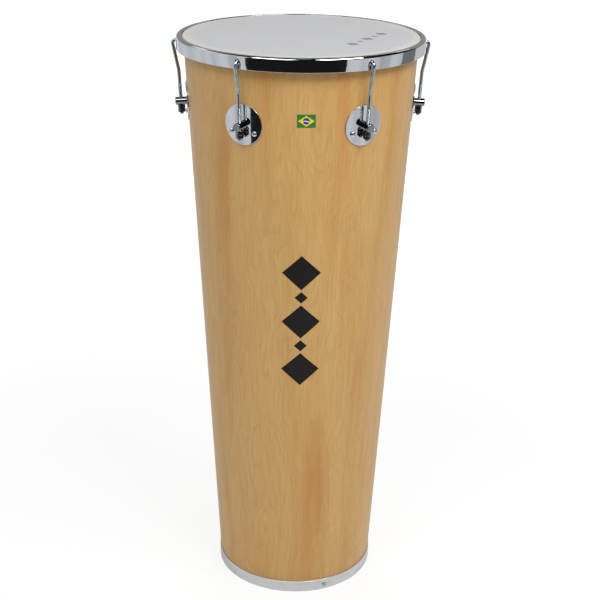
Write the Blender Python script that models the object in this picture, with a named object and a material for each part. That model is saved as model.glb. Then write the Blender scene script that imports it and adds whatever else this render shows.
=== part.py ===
"""Timbal drum: a tapered wooden shell with a plastic head that six hook rods pull down.

Metres, +Z up. The origin is the centre of the foot, on the floor, and the front is on -Y.
Angles round the drum are counted from the front towards +X. Outlines are (radius, height) points.
"""

import math

import bmesh
import bpy
from mathutils import Matrix

# Whole drum
HEIGHT = 0.900  # floor to the top of the counter hoop
LUG_COUNT = 6
FIRST_LUG_ANGLE = math.radians(30)
TURN_STEPS = 60  # facets round a large turned piece
FIT = 0.0003  # gap between pieces that touch
CUT_MARGIN = 0.005  # cutters run this far past what they cut
SHARP_ANGLE = math.radians(35)  # edges sharper than this aren't shaded smooth

# Shell, of moulded ply
SHELL_TOP_RADIUS = 0.1765
SHELL_FOOT_RADIUS = 0.1270
SHELL_WALL = 0.007
BEARING_ROUND = 0.003  # outer round of the edge that the head lies on
BEARING_FLAT = 0.0015
BEARING_CHAMFER = 0.003  # inner chamfer of the same edge

# Glued rings inside the shell's mouths
RING_WALL = 0.006
TOP_RING_DEPTH = 0.040
TOP_RING_SETBACK = 0.004  # below the shell's edge
FOOT_RING_DEPTH = 0.030
FOOT_RING_SETBACK = 0.002  # above the floor

# Strip round the foot
FOOT_BAND_DEPTH = 0.019
FOOT_BAND_SHEET = 0.001
FOOT_SCREW_COUNT = 3
FOOT_SCREW_ANGLE = math.radians(20.8)
FOOT_SCREW_HEIGHT = 0.0085

# Head: film with a collar, held in a channel
FILM_THICKNESS = 0.00035
FILM_SINK = 0.0004  # the film lies this far below the top of the counter hoop
FILM_ROUND = 0.003
FILM_FOOT = 0.003  # width of the collar's turned-out edge
FLESH_SHEET = 0.0008
FLESH_WIDTH = 0.007
FLESH_DEPTH = 0.0044
FLESH_RUNNING_GAP = 0.0006  # between the channel and the shell

# Counter hoop, pressed from steel strip
HOOP_SHEET = 0.0016
HOOP_DEPTH = 0.020
HOOP_CLEARANCE = 0.00165  # between its band and the flesh hoop
HOOP_CORNER = 0.0035
HOOP_LIP_GAP = 0.0008  # between its inner edge and the film's collar
HOOP_EDGE_ROUND = 0.0006
HOOP_HOLE_RADIUS = 0.0034

# Hook rods
ROD_RADIUS = 0.00265
ROD_THREAD_RADIUS = 0.00295
ROD_THREAD_RISE = 0.027  # thread's upper end, above the post's axis
ROD_KNEE_RISE = 0.047  # bend, above the post's axis
ROD_KNEE_ROUND = 0.020
ROD_HOOK_REACH = 0.0065  # hook's corner, outside the hoop's band
ROD_HOOK_ROUND = 0.0055
ROD_TIP_GAP = 0.003  # between the hook's tip and the shell
ROD_TAIL = 0.003  # rod left below the lock nut
ROD_POINT = 0.0006  # chamfer at both ends

# Lugs
LUG_DROP = 0.1015  # top of the hoop to the post's axis
PLATE_RADIUS = 0.030
PLATE_SHEET = 0.0015
PLATE_SCREW_OUT = 0.019  # screw to the plate's upright centre line
PLATE_SCREW_DROP = 0.011  # screw below the post's axis
POST_RADIUS = 0.006
POST_LENGTH = 0.017
POST_CHAMFER = 0.0006
POST_BORE_OFFSET = 0.0105  # rod's axis, out from the shell's wall
POST_BORE_PLAY = 0.0006
POST_WEB = 0.0008  # metal left between the cross bore and the tapped hole

# Bolts inside the shell that hold the posts
BOLT_RADIUS = 0.00295
BOLT_HEAD_FLATS = 0.010
BOLT_HEAD_DEPTH = 0.004
BOLT_FLANGE_RADIUS = 0.0065
BOLT_FLANGE_DEPTH = 0.0012
BOLT_TIP_GAP = 0.0004

# Nuts under the posts
NUT_FLATS = 0.010
NUT_DEPTH = 0.0052
NUT_PLAY = 0.00035  # between the bore and the rod's thread

# Wood screws with pan heads, in the plates and the foot strip
SCREW_HEAD_RADIUS = 0.00375
SCREW_HEAD_DEPTH = 0.0024
SCREW_SHANK_RADIUS = 0.0016
SCREW_BITE = 0.0052  # depth in the wood
SCREW_POINT = 0.0012

SCREW_CROWN = [(0, 1), (0.55, 0.88), (0.92, 0.5)]  # head's crown, in shares of its radius and depth

# Facets round small pieces and along their arcs
POST_STEPS = 18
PLATE_STEPS = 30
BORE_STEPS = 10
SCREW_STEPS = 8
ROD_BEVEL = 3
EDGE_STEPS = 3
CORNER_STEPS = 4
HOOK_STEPS = 5
KNEE_STEPS = 2

# Worked out from the sizes above: heights
LIP_UNDERSIDE = HEIGHT - HOOP_SHEET
FILM_TOP = HEIGHT - FILM_SINK
SHELL_TOP = FILM_TOP - FILM_THICKNESS - FIT
FLESH_TOP = LIP_UNDERSIDE - FIT
FLESH_BOTTOM = FLESH_TOP - FLESH_DEPTH
HOOK_HEIGHT = FLESH_BOTTOM - FIT - ROD_RADIUS
HOOP_HOLE_HEIGHT = HOOK_HEIGHT + HOOP_HOLE_RADIUS - ROD_RADIUS - FIT
LUG_HEIGHT = HEIGHT - LUG_DROP

# Worked out: taper and radii
TAPER = math.atan((SHELL_TOP_RADIUS - SHELL_FOOT_RADIUS) / SHELL_TOP)
FLESH_INNER = SHELL_TOP_RADIUS + FLESH_RUNNING_GAP
FLESH_OUTER = FLESH_INNER + FLESH_WIDTH
COLLAR_INNER = FLESH_INNER + FLESH_SHEET + FIT
COLLAR_OUTER = COLLAR_INNER + FILM_THICKNESS
LIP_INNER = COLLAR_OUTER + HOOP_LIP_GAP
HOOP_INNER = FLESH_OUTER + HOOP_CLEARANCE
HOOP_OUTER = HOOP_INNER + HOOP_SHEET

# Worked out: distances out from the wall, along a lug's axis
PLATE_FACE = FIT + PLATE_SHEET
POST_BACK = PLATE_FACE + FIT
POST_BORE_RADIUS = ROD_THREAD_RADIUS + POST_BORE_PLAY
TAPPED_DEPTH = POST_BORE_OFFSET - POST_BORE_RADIUS - POST_WEB - POST_BACK
BOLT_HOLE_RADIUS = BOLT_RADIUS + FIT
SCREW_HOLE_RADIUS = SCREW_SHANK_RADIUS + FIT

LUG_ANGLES = [FIRST_LUG_ANGLE + i * math.tau / LUG_COUNT for i in range(LUG_COUNT)]
FOOT_SCREW_ANGLES = [
    FOOT_SCREW_ANGLE + i * math.tau / FOOT_SCREW_COUNT for i in range(FOOT_SCREW_COUNT)
]


def clear_scene():
    for obj in list(bpy.data.objects):
        bpy.data.objects.remove(obj)


def material(name, colour, roughness, metallic=0.0):
    made = bpy.data.materials.new(name)
    made.use_nodes = True
    shader = made.node_tree.nodes["Principled BSDF"]
    shader.inputs["Base Color"].default_value = (*colour, 1.0)
    shader.inputs["Roughness"].default_value = roughness
    shader.inputs["Metallic"].default_value = metallic
    return made


def shell_radius(height):
    """The shell's outer radius at a height."""
    return SHELL_FOOT_RADIUS + height * math.tan(TAPER)


def flat_radius(radius):
    """The distance from the axis to the middle of a turned piece's facet."""
    return radius * math.cos(math.pi / TURN_STEPS)


def arc(centre, radius, start, end, steps):
    """Outline points on an arc, its angles in degrees from the outward direction."""
    angles = [math.radians(start + (end - start) * i / steps) for i in range(steps + 1)]
    return [(centre[0] + radius * math.cos(a), centre[1] + radius * math.sin(a)) for a in angles]


def mesh_from(bm, name):
    """The bmesh as a mesh with its faces out and its round sides smooth."""
    bmesh.ops.remove_doubles(bm, verts=bm.verts, dist=1e-6)
    bmesh.ops.recalc_face_normals(bm, faces=bm.faces)
    mesh = bpy.data.meshes.new(name)
    bm.to_mesh(mesh)
    bm.free()
    mesh.shade_smooth()
    mesh.set_sharp_from_angle(angle=SHARP_ANGLE)
    return mesh


def turned(name, outline, steps, closed=True):
    """An outline turned about Z. An open outline starts and ends on the axis."""
    bm = bmesh.new()
    verts = [bm.verts.new((radius, 0, height)) for radius, height in outline]
    edges = [bm.edges.new(pair) for pair in zip(verts, verts[1:])]
    if closed:
        edges.append(bm.edges.new((verts[-1], verts[0])))
    bmesh.ops.spin(
        bm,
        geom=verts + edges,
        cent=(0, 0, 0),
        axis=(0, 0, 1),
        angle=math.tau,
        steps=steps,
        use_merge=True,
    )
    return mesh_from(bm, name)


def prism(name, radius, low, high, sides):
    """A prism or cylinder along Z between two heights."""
    bm = bmesh.new()
    bmesh.ops.create_cone(
        bm,
        cap_ends=True,
        segments=sides,
        radius1=radius,
        radius2=radius,
        depth=high - low,
        matrix=Matrix.Translation((0, 0, (low + high) / 2)),
    )
    return mesh_from(bm, name)


def add(name, data, finish=None, parent=None, matrix=None):
    """A named object for the mesh or curve, placed under its parent."""
    obj = bpy.data.objects.new(name, data)
    bpy.context.scene.collection.objects.link(obj)
    if finish and not data.materials:
        data.materials.append(finish)
    obj.parent = parent
    obj.matrix_local = matrix or Matrix()
    return obj


def helper(name, data, matrix=None):
    """A cutter or stock that shapes other pieces and isn't part of the drum."""
    obj = add(name, data, matrix=matrix)
    obj.hide_render = True
    obj.display_type = "WIRE"
    return obj


def boolean(obj, other, operation="DIFFERENCE"):
    modifier = obj.modifiers.new(f"{operation.lower()} {other.name}", "BOOLEAN")
    modifier.operation = operation
    modifier.object = other


def shaped(obj, name):
    """The object's mesh with its modifiers applied, for pieces that repeat. The object goes."""
    bpy.context.view_layer.update()
    graph = bpy.context.evaluated_depsgraph_get()
    mesh = bpy.data.meshes.new_from_object(obj.evaluated_get(graph))
    mesh.name = name
    bpy.data.objects.remove(obj)
    mesh.shade_smooth()
    mesh.set_sharp_from_angle(angle=SHARP_ANGLE)
    return mesh


def about_z(angle):
    return Matrix.Rotation(angle, 4, "Z")


def outward(distance=0.0):
    """Turns a piece made along +Z so that it points out of the wall, and moves it out."""
    return Matrix.Translation((0, -distance, 0)) @ Matrix.Rotation(math.radians(90), 4, "X")


def wall_frame(angle, height):
    """A place on the shell's outer wall: -Y points square out of it, and +Z up along it."""
    out = Matrix.Translation((0, -flat_radius(shell_radius(height)), height))
    return about_z(angle) @ out @ Matrix.Rotation(TAPER, 4, "X")


def corner_radius(radius, sides):
    """The radius at a faceted hole's corners, where its flats lie on the radius."""
    return radius / math.cos(math.pi / sides)


def drills(name, places, radius, start, end, sides=BORE_STEPS):
    """One cutter that holds a round drill for each place, along its -Y, from start to end."""
    corners = corner_radius(radius, sides)
    bm = bmesh.new()
    for place in places:
        middle = outward((start + end) / 2)
        bmesh.ops.create_cone(
            bm,
            cap_ends=True,
            segments=sides,
            radius1=corners,
            radius2=corners,
            depth=abs(end - start),
            matrix=place @ middle,
        )
    return helper(name, mesh_from(bm, name))


def punches(name, places, radius, sides=BORE_STEPS):
    """One cutter that holds a round punch through the sheet at each place."""
    return drills(name, places, radius, 2 * CUT_MARGIN, -2 * CUT_MARGIN, sides)


def half_step():
    """Turns a piece so that a facet's middle faces the front and each lug."""
    return about_z(math.pi / TURN_STEPS)


def lug_frames():
    return [wall_frame(angle, LUG_HEIGHT) for angle in LUG_ANGLES]


def plate_screw_frames(lug_angle):
    """The two screws of a lug plate, left and right, each square to the wall where it goes in."""
    height = LUG_HEIGHT - PLATE_SCREW_DROP * math.cos(TAPER)
    turn = math.asin(PLATE_SCREW_OUT / shell_radius(height))
    return [wall_frame(lug_angle + side * turn, height) for side in (-1, 1)]


def foot_screw_frames():
    radius = flat_radius(foot_band_inner())
    out = Matrix.Translation((0, -radius, FOOT_SCREW_HEIGHT))
    return [about_z(angle) @ out for angle in FOOT_SCREW_ANGLES]


def foot_band_inner():
    return shell_radius(FOOT_BAND_DEPTH) + FIT


def make_shell(finish):
    wall = SHELL_WALL / math.cos(TAPER)
    round_height = SHELL_TOP - BEARING_ROUND
    crown = (shell_radius(round_height) - BEARING_ROUND, round_height)
    flat_end = crown[0] - BEARING_FLAT
    chamfer_height = SHELL_TOP - BEARING_CHAMFER
    outline = [
        (shell_radius(0), 0),
        *arc(crown, BEARING_ROUND, 0, 90, EDGE_STEPS),
        (flat_end, SHELL_TOP),
        (shell_radius(chamfer_height) - wall, chamfer_height),
        (shell_radius(0) - wall, 0),
    ]
    shell = add("shell", turned("shell", outline, TURN_STEPS), finish, matrix=half_step())
    screw_places = [place for angle in LUG_ANGLES for place in plate_screw_frames(angle)]
    through = -SHELL_WALL - CUT_MARGIN
    boolean(shell, drills("bolt_drills", lug_frames(), BOLT_HOLE_RADIUS, CUT_MARGIN, through))
    for name, places in (("screw_drills", screw_places), ("foot_drills", foot_screw_frames())):
        bite = -SCREW_BITE - FIT
        boolean(shell, drills(name, places, SCREW_HOLE_RADIUS, CUT_MARGIN, bite, SCREW_STEPS))
    return shell


def inner_ring(name, low, high, finish):
    """A ply ring glued to the shell's inner wall between two heights."""
    wall = (SHELL_WALL + FIT) / math.cos(TAPER)
    outer_low = shell_radius(low) - wall
    outer_high = shell_radius(high) - wall
    outline = [
        (outer_low, low),
        (outer_high, high),
        (outer_high - RING_WALL, high),
        (outer_low - RING_WALL, low),
    ]
    return add(name, turned(name, outline, TURN_STEPS), finish, matrix=half_step())


def make_foot_band(finish):
    inner = foot_band_inner()
    outer = inner + FOOT_BAND_SHEET
    outline = [(outer, 0), (outer, FOOT_BAND_DEPTH), (inner, FOOT_BAND_DEPTH), (inner, 0)]
    band = add("foot_band", turned("foot_band", outline, TURN_STEPS), finish, matrix=half_step())
    boolean(band, punches("band_punches", foot_screw_frames(), SCREW_HOLE_RADIUS, SCREW_STEPS))
    return band


def make_film(finish, parent):
    crown = COLLAR_OUTER - FILM_ROUND
    low = FLESH_BOTTOM + FLESH_SHEET + FIT
    centre = (crown, FILM_TOP - FILM_ROUND)
    outline = [
        (0, FILM_TOP),
        *arc(centre, FILM_ROUND, 90, 0, EDGE_STEPS),
        (COLLAR_OUTER, low + FILM_THICKNESS),
        (COLLAR_OUTER + FILM_FOOT, low + FILM_THICKNESS),
        (COLLAR_OUTER + FILM_FOOT, low),
        (COLLAR_INNER, low),
        *arc(centre, FILM_ROUND - FILM_THICKNESS, 0, 90, EDGE_STEPS),
        (0, FILM_TOP - FILM_THICKNESS),
    ]
    mesh = turned("head_film", outline, TURN_STEPS, closed=False)
    return add("head_film", mesh, finish, parent, matrix=half_step())


def make_flesh_hoop(finish, parent):
    """The channel that holds the film's collar, its outer wall up to the counter hoop's lip."""
    inner_top = FILM_TOP - FILM_ROUND
    base = FLESH_BOTTOM + FLESH_SHEET
    outline = [
        (FLESH_OUTER, FLESH_BOTTOM),
        (FLESH_OUTER, FLESH_TOP),
        (FLESH_OUTER - FLESH_SHEET, FLESH_TOP),
        (FLESH_OUTER - FLESH_SHEET, base),
        (FLESH_INNER + FLESH_SHEET, base),
        (FLESH_INNER + FLESH_SHEET, inner_top),
        (FLESH_INNER, inner_top),
        (FLESH_INNER, FLESH_BOTTOM),
    ]
    mesh = turned("flesh_hoop", outline, TURN_STEPS)
    return add("flesh_hoop", mesh, finish, parent, matrix=half_step())


def make_counter_hoop(finish, parent):
    low = HEIGHT - HOOP_DEPTH
    centre = (HOOP_OUTER - HOOP_CORNER, HEIGHT - HOOP_CORNER)
    edge = HOOP_EDGE_ROUND
    outline = [
        (HOOP_OUTER - edge, low),
        (HOOP_OUTER, low + edge),
        *arc(centre, HOOP_CORNER, 0, 90, CORNER_STEPS),
        (LIP_INNER + edge, HEIGHT),
        (LIP_INNER, HEIGHT - edge),
        (LIP_INNER, LIP_UNDERSIDE),
        *arc(centre, HOOP_CORNER - HOOP_SHEET, 90, 0, EDGE_STEPS),
        (HOOP_INNER, low),
    ]
    mesh = turned("counter_hoop", outline, TURN_STEPS)
    hoop = add("counter_hoop", mesh, finish, parent, matrix=half_step())
    out = Matrix.Translation((0, -HOOP_INNER, HOOP_HOLE_HEIGHT))
    places = [about_z(angle) @ out for angle in LUG_ANGLES]
    boolean(hoop, punches("hoop_punches", places, HOOP_HOLE_RADIUS))
    return hoop


def post_point(out, up):
    """(radius, height) of a point in a lug's upright plane, from the wall at the post's axis."""
    radius = flat_radius(shell_radius(LUG_HEIGHT)) + out * math.cos(TAPER) + up * math.sin(TAPER)
    return radius, LUG_HEIGHT - out * math.sin(TAPER) + up * math.cos(TAPER)


def rounded(before, corner, after, radius, steps):
    """Points of the arc that rounds a corner of a path."""
    towards = [math.atan2(p[1] - corner[1], p[0] - corner[0]) for p in (before, after)]
    half = math.remainder(towards[1] - towards[0], math.tau) / 2
    middle = towards[0] + half
    reach = radius / math.sin(abs(half))
    centre = (corner[0] + reach * math.cos(middle), corner[1] + reach * math.sin(middle))
    swing = math.copysign(math.pi - 2 * abs(half), -half)
    facing = middle + math.pi
    angles = [facing + swing * (i / steps - 0.5) for i in range(steps + 1)]
    return [(centre[0] + radius * math.cos(a), centre[1] + radius * math.sin(a)) for a in angles]


def rod_bottom():
    """The rod's lower end, below the post's axis."""
    return -(POST_RADIUS + 2 * (FIT + NUT_DEPTH) + ROD_TAIL)


def rod_path():
    """(radius, height, thickness factor) along a hook rod, from the hook's tip to the tail."""
    tip = (SHELL_TOP_RADIUS + ROD_TIP_GAP, HOOK_HEIGHT)
    corner = (HOOP_OUTER + ROD_HOOK_REACH, HOOK_HEIGHT)
    knee = post_point(POST_BORE_OFFSET, ROD_KNEE_RISE)
    thread_factor = ROD_THREAD_RADIUS / ROD_RADIUS
    point = (ROD_RADIUS - ROD_POINT) / ROD_RADIUS
    shank = [
        (tip[0] + ROD_POINT, tip[1]),
        *rounded(tip, corner, knee, ROD_HOOK_ROUND, HOOK_STEPS),
        *rounded(corner, knee, post_point(POST_BORE_OFFSET, 0), ROD_KNEE_ROUND, KNEE_STEPS),
        post_point(POST_BORE_OFFSET, ROD_THREAD_RISE + ROD_POINT),
    ]
    thread = [
        post_point(POST_BORE_OFFSET, ROD_THREAD_RISE),
        post_point(POST_BORE_OFFSET, rod_bottom() + ROD_POINT),
    ]
    return [
        (*tip, point),
        *((*place, 1.0) for place in shank),
        *((*place, thread_factor) for place in thread),
        (*post_point(POST_BORE_OFFSET, rod_bottom()), point),
    ]


def rod_curve():
    curve = bpy.data.curves.new("hook_rod", "CURVE")
    curve.dimensions = "3D"
    curve.bevel_depth = ROD_RADIUS
    curve.bevel_resolution = ROD_BEVEL
    curve.use_fill_caps = True
    path = rod_path()
    spline = curve.splines.new("POLY")
    spline.points.add(len(path) - 1)
    for point, (radius, height, factor) in zip(spline.points, path):
        point.co = (0, -radius, height, 1)
        point.radius = factor
    spline.use_smooth = True
    return curve


def plate_mesh():
    """A round plate cut from sheet that follows the shell, in its lug's frame."""
    margin = PLATE_RADIUS + CUT_MARGIN
    low, high = LUG_HEIGHT - margin, LUG_HEIGHT + margin
    near, far = FIT / math.cos(TAPER), PLATE_FACE / math.cos(TAPER)
    outline = [
        (shell_radius(low) + far, low),
        (shell_radius(high) + far, high),
        (shell_radius(high) + near, high),
        (shell_radius(low) + near, low),
    ]
    frame = wall_frame(0, LUG_HEIGHT)
    plate = helper("plate_sheet", turned("plate_sheet", outline, TURN_STEPS), half_step())
    boolean(plate, punches("plate_blank", [frame], PLATE_RADIUS, PLATE_STEPS), "INTERSECT")
    boolean(plate, punches("plate_bolt_punch", [frame], BOLT_HOLE_RADIUS))
    screw_places = plate_screw_frames(0)
    boolean(plate, punches("plate_screw_punches", screw_places, SCREW_HOLE_RADIUS, SCREW_STEPS))
    mesh = shaped(plate, "lug_plate")
    mesh.transform(frame.inverted() @ half_step())
    return mesh


def post_mesh():
    """A post along +Z from its back, cross-bored for the rod and tapped for its bolt."""
    rim = POST_RADIUS - POST_CHAMFER
    outline = [
        (0, POST_LENGTH),
        (rim, POST_LENGTH),
        (POST_RADIUS, POST_LENGTH - POST_CHAMFER),
        (POST_RADIUS, 0),
        (0, 0),
    ]
    post = helper("post_bar", turned("post_bar", outline, POST_STEPS, closed=False))
    reach = POST_RADIUS + CUT_MARGIN
    across_corners = corner_radius(POST_BORE_RADIUS, BORE_STEPS)
    bore = prism("post_bore", across_corners, -reach, reach, BORE_STEPS)
    place = Matrix.Translation((0, 0, POST_BORE_OFFSET - POST_BACK))
    across = Matrix.Rotation(math.radians(90), 4, "X")
    boolean(post, helper("post_bore", bore, place @ across))
    tapping = corner_radius(BOLT_HOLE_RADIUS, BORE_STEPS)
    tapped = prism("post_tapping", tapping, -CUT_MARGIN, TAPPED_DEPTH, BORE_STEPS)
    boolean(post, helper("post_tapping", tapped))
    return shaped(post, "lug_post")


def bolt_mesh():
    """A flanged bolt along +Z, its flange's seat at height 0."""
    tip = SHELL_WALL + FIT + POST_BACK + TAPPED_DEPTH - BOLT_TIP_GAP
    outline = [
        (0, -BOLT_FLANGE_DEPTH),
        (BOLT_FLANGE_RADIUS, -BOLT_FLANGE_DEPTH),
        (BOLT_FLANGE_RADIUS, 0),
        (BOLT_RADIUS, 0),
        (BOLT_RADIUS, tip),
        (0, tip),
    ]
    bolt = helper("bolt_blank", turned("bolt_blank", outline, BORE_STEPS, closed=False))
    top = -BOLT_FLANGE_DEPTH - BOLT_HEAD_DEPTH
    head = prism("bolt_head", hex_radius(BOLT_HEAD_FLATS), top, -BOLT_FLANGE_DEPTH / 2, 6)
    boolean(bolt, helper("bolt_head", head), "UNION")
    return shaped(bolt, "lug_bolt")


def hex_radius(flats):
    return corner_radius(flats / 2, 6)


def nut_mesh():
    """A hexagon nut along Z, its middle at the origin."""
    half = NUT_DEPTH / 2
    nut = helper("nut_blank", prism("nut_blank", hex_radius(NUT_FLATS), -half, half, 6))
    corners = corner_radius(ROD_THREAD_RADIUS + NUT_PLAY, BORE_STEPS)
    bore = prism("nut_bore", corners, -NUT_DEPTH, NUT_DEPTH, BORE_STEPS)
    boolean(nut, helper("nut_bore", bore))
    return shaped(nut, "hex_nut")


def screw_mesh(grip):
    """A pan-head screw along -Z, its head's seat at height 0. Grip is the sheet it holds."""
    end = -(grip + SCREW_BITE)
    outline = [
        *((out * SCREW_HEAD_RADIUS, up * SCREW_HEAD_DEPTH) for out, up in SCREW_CROWN),
        (SCREW_HEAD_RADIUS, 0),
        (SCREW_SHANK_RADIUS, 0),
        (SCREW_SHANK_RADIUS, end + SCREW_POINT),
        (0, end),
    ]
    return turned("pan_screw", outline, SCREW_STEPS, closed=False)


def make_lugs(chrome, zinc, slide):
    """Each lug's fixed pieces stand in its frame, and its hook rod rides with the head."""
    plate = plate_mesh()
    post = post_mesh()
    bolt = bolt_mesh()
    nut = nut_mesh()
    lock_nut = nut.copy()
    lock_nut.name = "hex_lock_nut"
    screw = screw_mesh(PLATE_FACE + FIT)
    rod = rod_curve()
    bolt_place = outward(-SHELL_WALL - FIT)
    nut_centre = -(POST_RADIUS + FIT + NUT_DEPTH / 2)
    lock_centre = nut_centre - NUT_DEPTH - FIT
    for number, angle in enumerate(LUG_ANGLES, 1):
        lug = add(f"lug_{number}", None, matrix=wall_frame(angle, LUG_HEIGHT))
        add(f"lug_plate_{number}", plate, chrome, lug)
        add(f"lug_post_{number}", post, chrome, lug, outward(POST_BACK))
        add(f"lug_bolt_{number}", bolt, zinc, lug, bolt_place)
        axis = add(f"rod_axis_{number}", None, None, lug, Matrix.Translation((0, -POST_BORE_OFFSET, 0)))
        add(f"tuning_nut_{number}", nut, zinc, axis, Matrix.Translation((0, 0, nut_centre)))
        add(f"lock_nut_{number}", lock_nut, zinc, axis, Matrix.Translation((0, 0, lock_centre)))
        for side, place in zip("ab", plate_screw_frames(angle)):
            add(f"plate_screw_{number}{side}", screw, chrome, None, place @ outward(PLATE_FACE + FIT))
        add(f"hook_rod_{number}", rod, zinc, slide, about_z(angle))


def make_foot_screws(finish):
    screw = screw_mesh(FOOT_BAND_SHEET + FIT)
    for number, place in enumerate(foot_screw_frames(), 1):
        seat = outward(FOOT_BAND_SHEET + FIT)
        add(f"foot_band_screw_{number}", screw, finish, None, place @ seat)


def main():
    clear_scene()
    wood = material("lacquered_ply", (0.60, 0.40, 0.17), 0.35)
    raw_ply = material("raw_ply", (0.62, 0.47, 0.28), 0.75)
    film = material("milky_film", (0.62, 0.61, 0.58), 0.45)
    chrome = material("chromed_steel", (0.62, 0.63, 0.65), 0.08, 1.0)
    zinc = material("zinc_plated_steel", (0.42, 0.43, 0.42), 0.3, 1.0)
    satin = material("satin_aluminium", (0.58, 0.60, 0.62), 0.4, 1.0)
    make_shell(wood)
    ring_top = SHELL_TOP - TOP_RING_SETBACK
    inner_ring("top_inner_ring", ring_top - TOP_RING_DEPTH, ring_top, raw_ply)
    foot_low = FOOT_RING_SETBACK
    inner_ring("foot_inner_ring", foot_low, foot_low + FOOT_RING_DEPTH, raw_ply)
    make_foot_band(satin)
    make_foot_screws(zinc)
    slide = add("head_slide", None)
    make_film(film, slide)
    make_flesh_hoop(satin, slide)
    make_counter_hoop(chrome, slide)
    make_lugs(chrome, zinc, slide)


main()
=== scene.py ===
"""Timbal drum: the looks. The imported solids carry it, and finer pieces and finishes are made over them.

Metres, +Z up, the front on -Y. Angles round the drum are counted from the front towards +X.
"""

import math
from functools import partial

import bmesh
import bpy
from bpy.props import FloatProperty, FloatVectorProperty, PointerProperty
from bpy.types import Node, NodeSocket, Operator, Panel, PropertyGroup
from mathutils import Matrix, Vector


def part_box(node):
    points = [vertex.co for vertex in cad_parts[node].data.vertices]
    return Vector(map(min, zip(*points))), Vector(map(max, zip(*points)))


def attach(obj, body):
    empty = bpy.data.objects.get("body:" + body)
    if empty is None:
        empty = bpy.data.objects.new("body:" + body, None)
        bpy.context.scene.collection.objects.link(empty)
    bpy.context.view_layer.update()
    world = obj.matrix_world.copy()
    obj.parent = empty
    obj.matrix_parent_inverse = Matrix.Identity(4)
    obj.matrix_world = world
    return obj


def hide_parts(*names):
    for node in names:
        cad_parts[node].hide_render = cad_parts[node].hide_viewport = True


bl_info = {
    "name": "Timbal drum",
    "version": (1, 0, 0),
    "blender": (4, 5, 0),
    "location": "3D View > Sidebar > Drum",
    "description": "Makes the pieces and finishes of a timbal drum round its packed solids",
    "category": "Add Mesh",
}

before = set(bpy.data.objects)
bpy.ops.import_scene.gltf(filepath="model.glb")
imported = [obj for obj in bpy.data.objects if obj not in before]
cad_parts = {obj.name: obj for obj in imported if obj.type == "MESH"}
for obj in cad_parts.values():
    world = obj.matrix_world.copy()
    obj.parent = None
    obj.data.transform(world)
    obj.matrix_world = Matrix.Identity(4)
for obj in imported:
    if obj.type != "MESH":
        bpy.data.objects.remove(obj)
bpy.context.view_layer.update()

# Read from the frame. Rod 2 stands on +X, so its box gives the reach of a hook
SHELL_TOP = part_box("shell")[1].z
HOOP_FOOT, TOP = (corner.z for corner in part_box("counter_hoop"))
HOOP_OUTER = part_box("counter_hoop")[1].y
FILM_FOOT, FILM_TOP = (corner.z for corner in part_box("head_film"))
FOOT_BAND_OUTER, FOOT_BAND_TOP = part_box("foot_band")[1].yz
HOOK_OUTER, HOOK_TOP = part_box("hook_rod_2")[1].xz

# The six stations round the drum
LUG_ANGLES = [math.radians(30 + 60 * i) for i in range(6)]

# A millimetre, and the gap between pieces that rest on each other
MM = 0.001
FIT = 0.0003

# Facets of round pieces, and levels up a straight wall
WIDE_STEPS = 240
PLATE_STEPS = 96
NUT_STEPS = 72
ROUND_STEPS = 48
BORE_STEPS = 32
TUBE_SIDES = 24
WALL_LEVELS = 24
STRIP_LEVELS = 4
FILM_RINGS = 10
LABEL_BAND_STEPS = 16

# Ends of the row printed on the head, in metres from the axis, and each lozenge's half width across it
HEAD_MARK = ((0.0665, -0.085), (0.127, 0.020))
HEAD_LOZENGES = (0.011, 0.006, 0.011, 0.006, 0.011)

# Thickness of ink, its lift off what it is printed on, and the least half width of a patch
INK = 0.04 * MM
FILM_INK_LIFT = 0.03 * MM
VINYL = 0.05 * MM
POINT = 0.05 * MM

# Middle and half size of the heart figure on the unrolled veneer, in metres
HEART_PLACE = (0.031, 0.215)
HEART_REACH = (0.034, 0.155)

# Stage: tops of the low cards, the canopy's centre height and radius, the height lamps look at, the floor
RIGHT_CARD_TOP = 0.78
REAR_CARD_TOP = 0.95
CANOPY_HEIGHT = 0.9
CANOPY_RADIUS = 2.7
LAMP_AIM = 0.6
FLOOR_REACH = 20.0
FLOOR_FADE = 5.0

# Turns a piece's +Z to the front
TO_FRONT = Matrix.Rotation(math.radians(90), 4, "X")


def linear(value):
    """One sRGB share as linear light."""
    return value / 12.92 if value <= 0.04045 else ((value + 0.055) / 1.055) ** 2.4


def colour(hex_code):
    """An sRGB hex code such as C8A468 as linear red, green and blue."""
    return tuple(linear(int(hex_code[i : i + 2], 16) / 255) for i in (0, 2, 4))


def length(name, description, default):
    return FloatProperty(name=name, description=description, default=default, unit="LENGTH", precision=5)


def angle(name, description, degrees):
    default = math.radians(degrees)
    return FloatProperty(name=name, description=description, default=default, subtype="ANGLE", precision=5)


def power(name, description, watts):
    return FloatProperty(name=name, description=description, default=watts, unit="POWER")


def paint(name, description, hex_code):
    return FloatVectorProperty(
        name=name, description=description, default=colour(hex_code), subtype="COLOR", min=0, max=1
    )


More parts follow.
